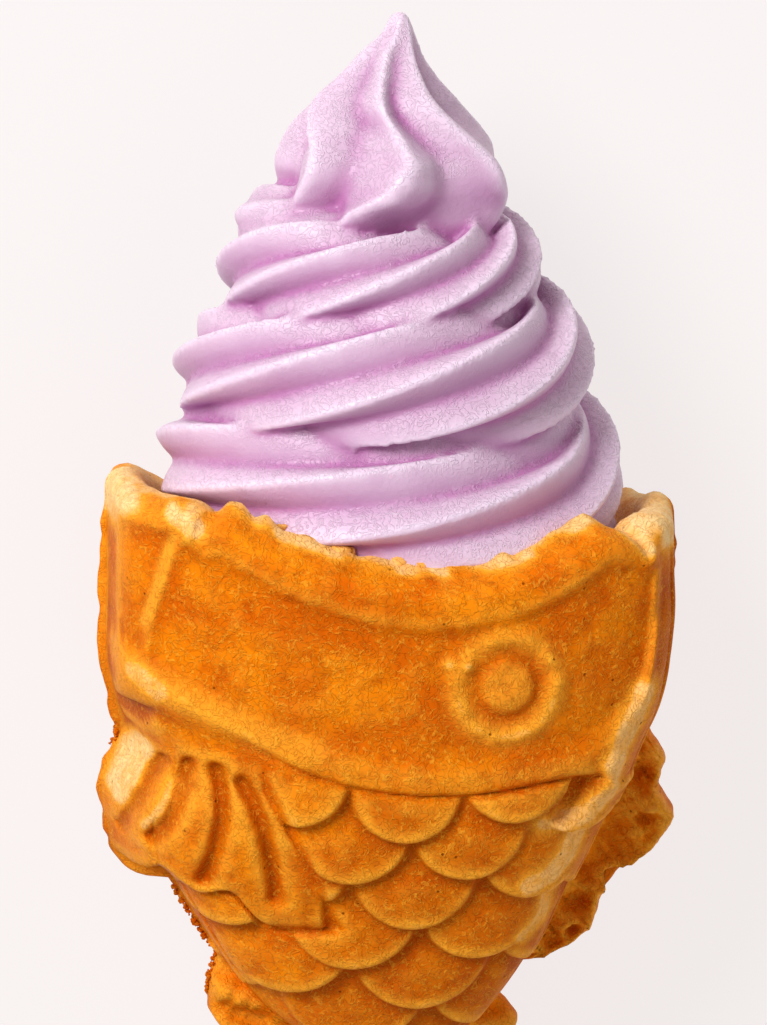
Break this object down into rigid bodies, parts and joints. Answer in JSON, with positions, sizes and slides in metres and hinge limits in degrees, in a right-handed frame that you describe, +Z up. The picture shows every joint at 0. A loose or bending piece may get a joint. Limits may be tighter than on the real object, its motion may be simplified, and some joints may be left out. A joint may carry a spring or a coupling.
{
  "type": "taiyaki ice cream cone",
  "caption": "Fish-shaped taiyaki pastry baked open at the mouth and filled with a tall swirl of lilac soft serve, lying on its back.",
  "frame": {"origin": "centre of the footprint, at the height of the surface it lies on", "axes": "+X across the fish, +Y from its tail to the tip of the soft serve, +Z up out of its shown side"},
  "size_m": [0.0904, 0.1932, 0.0676],
  "materials": {
    "crust": "golden-brown griddled batter, slightly oily, paler on ridges and torn rims",
    "soft_serve": "smooth lilac soft serve with a wet satin sheen"
  },
  "bodies": {
    "root": {"fish_cone": "crust", "soft_serve": "soft_serve"}
  },
  "joints": []
}
